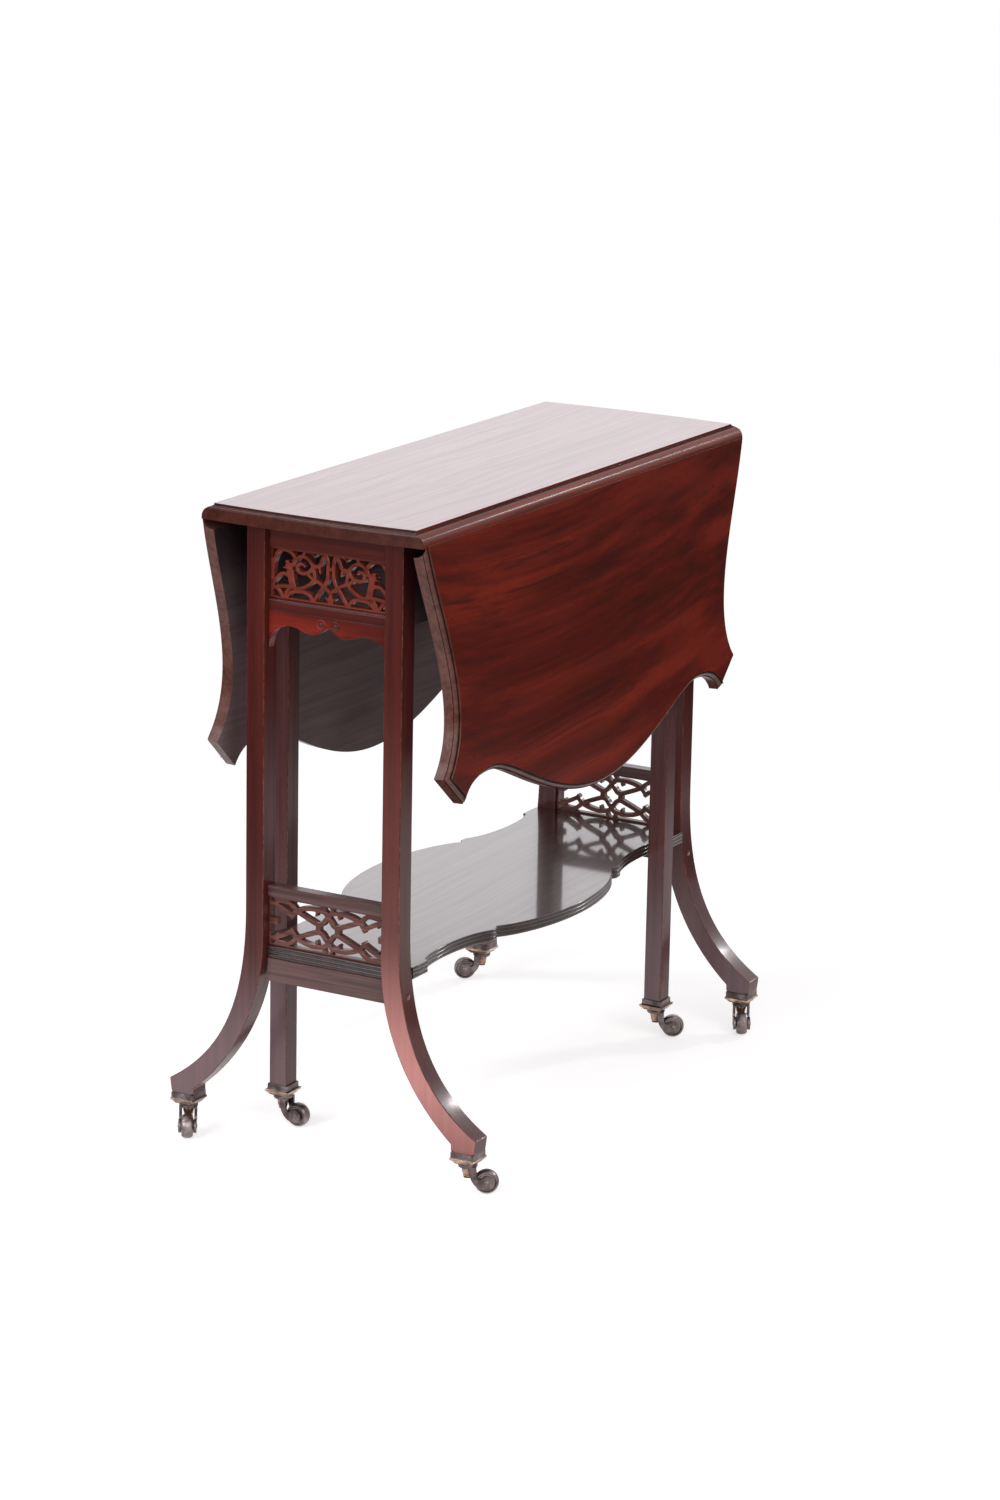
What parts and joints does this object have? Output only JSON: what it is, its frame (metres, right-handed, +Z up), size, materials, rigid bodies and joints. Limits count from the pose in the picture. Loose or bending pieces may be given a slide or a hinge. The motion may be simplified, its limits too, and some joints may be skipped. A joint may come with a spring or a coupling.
{
  "type": "drop-leaf table",
  "caption": "Narrow drop-leaf table with deep shaped leaves on rule joints, swing legs, pierced end friezes, an undershelf and castors",
  "frame": {"origin": "on the floor, at the middle of the table", "axes": "+X along the hinge lines, -Y toward the front leaf, +Z up"},
  "size_m": [0.724, 0.4102, 0.705],
  "materials": {
    "mahogany_top": "french polish, figured",
    "mahogany_frame": "french polish, straight grain",
    "mahogany_fret": "french polish, sawn and pierced",
    "mahogany_inner": "dark stained, unpolished",
    "patinated_brass": "cast, dulled by age",
    "hinge_brass": "rolled plate",
    "wheel_metal": "worn tread, tarnished"
  },
  "bodies": {
    "frame": {"top_board": "mahogany_top", "front_left_leg": "mahogany_frame", "front_right_leg": "mahogany_frame", "back_left_leg": "mahogany_frame", "back_right_leg": "mahogany_frame", "left_frieze_top_rail": "mahogany_frame", "left_frieze_fret": "mahogany_fret", "left_frieze_lower_rail": "mahogany_frame", "left_apron": "mahogany_frame", "left_gallery_rail": "mahogany_frame", "left_gallery_fret": "mahogany_fret", "left_lower_rail": "mahogany_frame", "right_frieze_top_rail": "mahogany_frame", "right_frieze_fret": "mahogany_fret", "right_frieze_lower_rail": "mahogany_frame", "right_apron": "mahogany_frame", "right_gallery_rail": "mahogany_frame", "right_gallery_fret": "mahogany_fret", "right_lower_rail": "mahogany_frame", "undershelf": "mahogany_top", "front_side_rail": "mahogany_inner", "back_side_rail": "mahogany_inner", "front_knuckle_block": "mahogany_inner", "back_knuckle_block": "mahogany_inner", "front_knuckle_pin": "hinge_brass", "back_knuckle_pin": "hinge_brass", "front_left_hinge_plate": "hinge_brass", "front_right_hinge_plate": "hinge_brass", "back_left_hinge_plate": "hinge_brass", "back_right_hinge_plate": "hinge_brass", "front_left_castor_cup": "patinated_brass", "front_right_castor_cup": "patinated_brass", "back_left_castor_cup": "patinated_brass", "back_right_castor_cup": "patinated_brass"},
    "front_leaf": {"front_leaf": "mahogany_top", "front_left_hinge_strap": "hinge_brass", "front_right_hinge_strap": "hinge_brass"},
    "back_leaf": {"back_leaf": "mahogany_top", "back_left_hinge_strap": "hinge_brass", "back_right_hinge_strap": "hinge_brass"},
    "front_gate": {"front_gate_rail": "mahogany_inner", "front_gate_leg": "mahogany_frame", "front_gate_castor_cup": "patinated_brass"},
    "back_gate": {"back_gate_rail": "mahogany_inner", "back_gate_leg": "mahogany_frame", "back_gate_castor_cup": "patinated_brass"},
    "front_left_fork": {"front_left_castor_fork": "patinated_brass"},
    "front_left_wheel": {"front_left_castor_wheel": "wheel_metal"},
    "front_right_fork": {"front_right_castor_fork": "patinated_brass"},
    "front_right_wheel": {"front_right_castor_wheel": "wheel_metal"},
    "back_left_fork": {"back_left_castor_fork": "patinated_brass"},
    "back_left_wheel": {"back_left_castor_wheel": "wheel_metal"},
    "back_right_fork": {"back_right_castor_fork": "patinated_brass"},
    "back_right_wheel": {"back_right_castor_wheel": "wheel_metal"},
    "front_gate_fork": {"front_gate_castor_fork": "patinated_brass"},
    "front_gate_wheel": {"front_gate_castor_wheel": "wheel_metal"},
    "back_gate_fork": {"back_gate_castor_fork": "patinated_brass"},
    "back_gate_wheel": {"back_gate_castor_wheel": "wheel_metal"}
  },
  "joints": [
    {"name": "front_leaf_hinge", "type": "hinge", "parent": "frame", "child": "front_leaf", "pos_m": [0, -0.121, 0.69], "axis": [-1, 0, 0], "range_deg": [0, 87]},
    {"name": "back_leaf_hinge", "type": "hinge", "parent": "frame", "child": "back_leaf", "pos_m": [0, 0.121, 0.69], "axis": [1, 0, 0], "range_deg": [0, 87]},
    {"name": "front_gate_pivot", "type": "hinge", "parent": "frame", "child": "front_gate", "pos_m": [-0.03, -0.1003, 0.641], "axis": [0, 0, -1], "range_deg": [0, 1]},
    {"name": "back_gate_pivot", "type": "hinge", "parent": "frame", "child": "back_gate", "pos_m": [0.03, 0.1003, 0.641], "axis": [0, 0, -1], "range_deg": [0, 1]},
    {"name": "front_left_swivel", "type": "hinge", "parent": "frame", "child": "front_left_fork", "pos_m": [-0.318, -0.1742, 0.026], "axis": [0, 0, 1], "continuous": true},
    {"name": "front_left_axle", "type": "hinge", "parent": "front_left_fork", "child": "front_left_wheel", "pos_m": [-0.308, -0.19152, 0.013], "axis": [0.866, 0.5, 0], "continuous": true},
    {"name": "front_right_swivel", "type": "hinge", "parent": "frame", "child": "front_right_fork", "pos_m": [0.318, -0.1742, 0.026], "axis": [0, 0, 1], "continuous": true},
    {"name": "front_right_axle", "type": "hinge", "parent": "front_right_fork", "child": "front_right_wheel", "pos_m": [0.30068, -0.1842, 0.013], "axis": [0.5, -0.866, 0], "continuous": true},
    {"name": "back_left_swivel", "type": "hinge", "parent": "frame", "child": "back_left_fork", "pos_m": [-0.318, 0.1742, 0.026], "axis": [0, 0, 1], "continuous": true},
    {"name": "back_left_axle", "type": "hinge", "parent": "back_left_fork", "child": "back_left_wheel", "pos_m": [-0.33532, 0.1642, 0.013], "axis": [0.5, -0.866, 0], "continuous": true},
    {"name": "back_right_swivel", "type": "hinge", "parent": "frame", "child": "back_right_fork", "pos_m": [0.318, 0.1742, 0.026], "axis": [0, 0, 1], "continuous": true},
    {"name": "back_right_axle", "type": "hinge", "parent": "back_right_fork", "child": "back_right_wheel", "pos_m": [0.308, 0.19152, 0.013], "axis": [-0.866, -0.5, 0], "continuous": true},
    {"name": "front_gate_swivel", "type": "hinge", "parent": "front_gate", "child": "front_gate_fork", "pos_m": [0.24, -0.10305, 0.026], "axis": [0, 0, 1], "continuous": true},
    {"name": "front_gate_axle", "type": "hinge", "parent": "front_gate_fork", "child": "front_gate_wheel", "pos_m": [0.25, -0.12037, 0.013], "axis": [0.866, 0.5, 0], "continuous": true},
    {"name": "back_gate_swivel", "type": "hinge", "parent": "back_gate", "child": "back_gate_fork", "pos_m": [-0.24, 0.10305, 0.026], "axis": [0, 0, 1], "continuous": true},
    {"name": "back_gate_axle", "type": "hinge", "parent": "back_gate_fork", "child": "back_gate_wheel", "pos_m": [-0.24, 0.08305, 0.013], "axis": [1, 0, 0], "continuous": true}
  ]
}
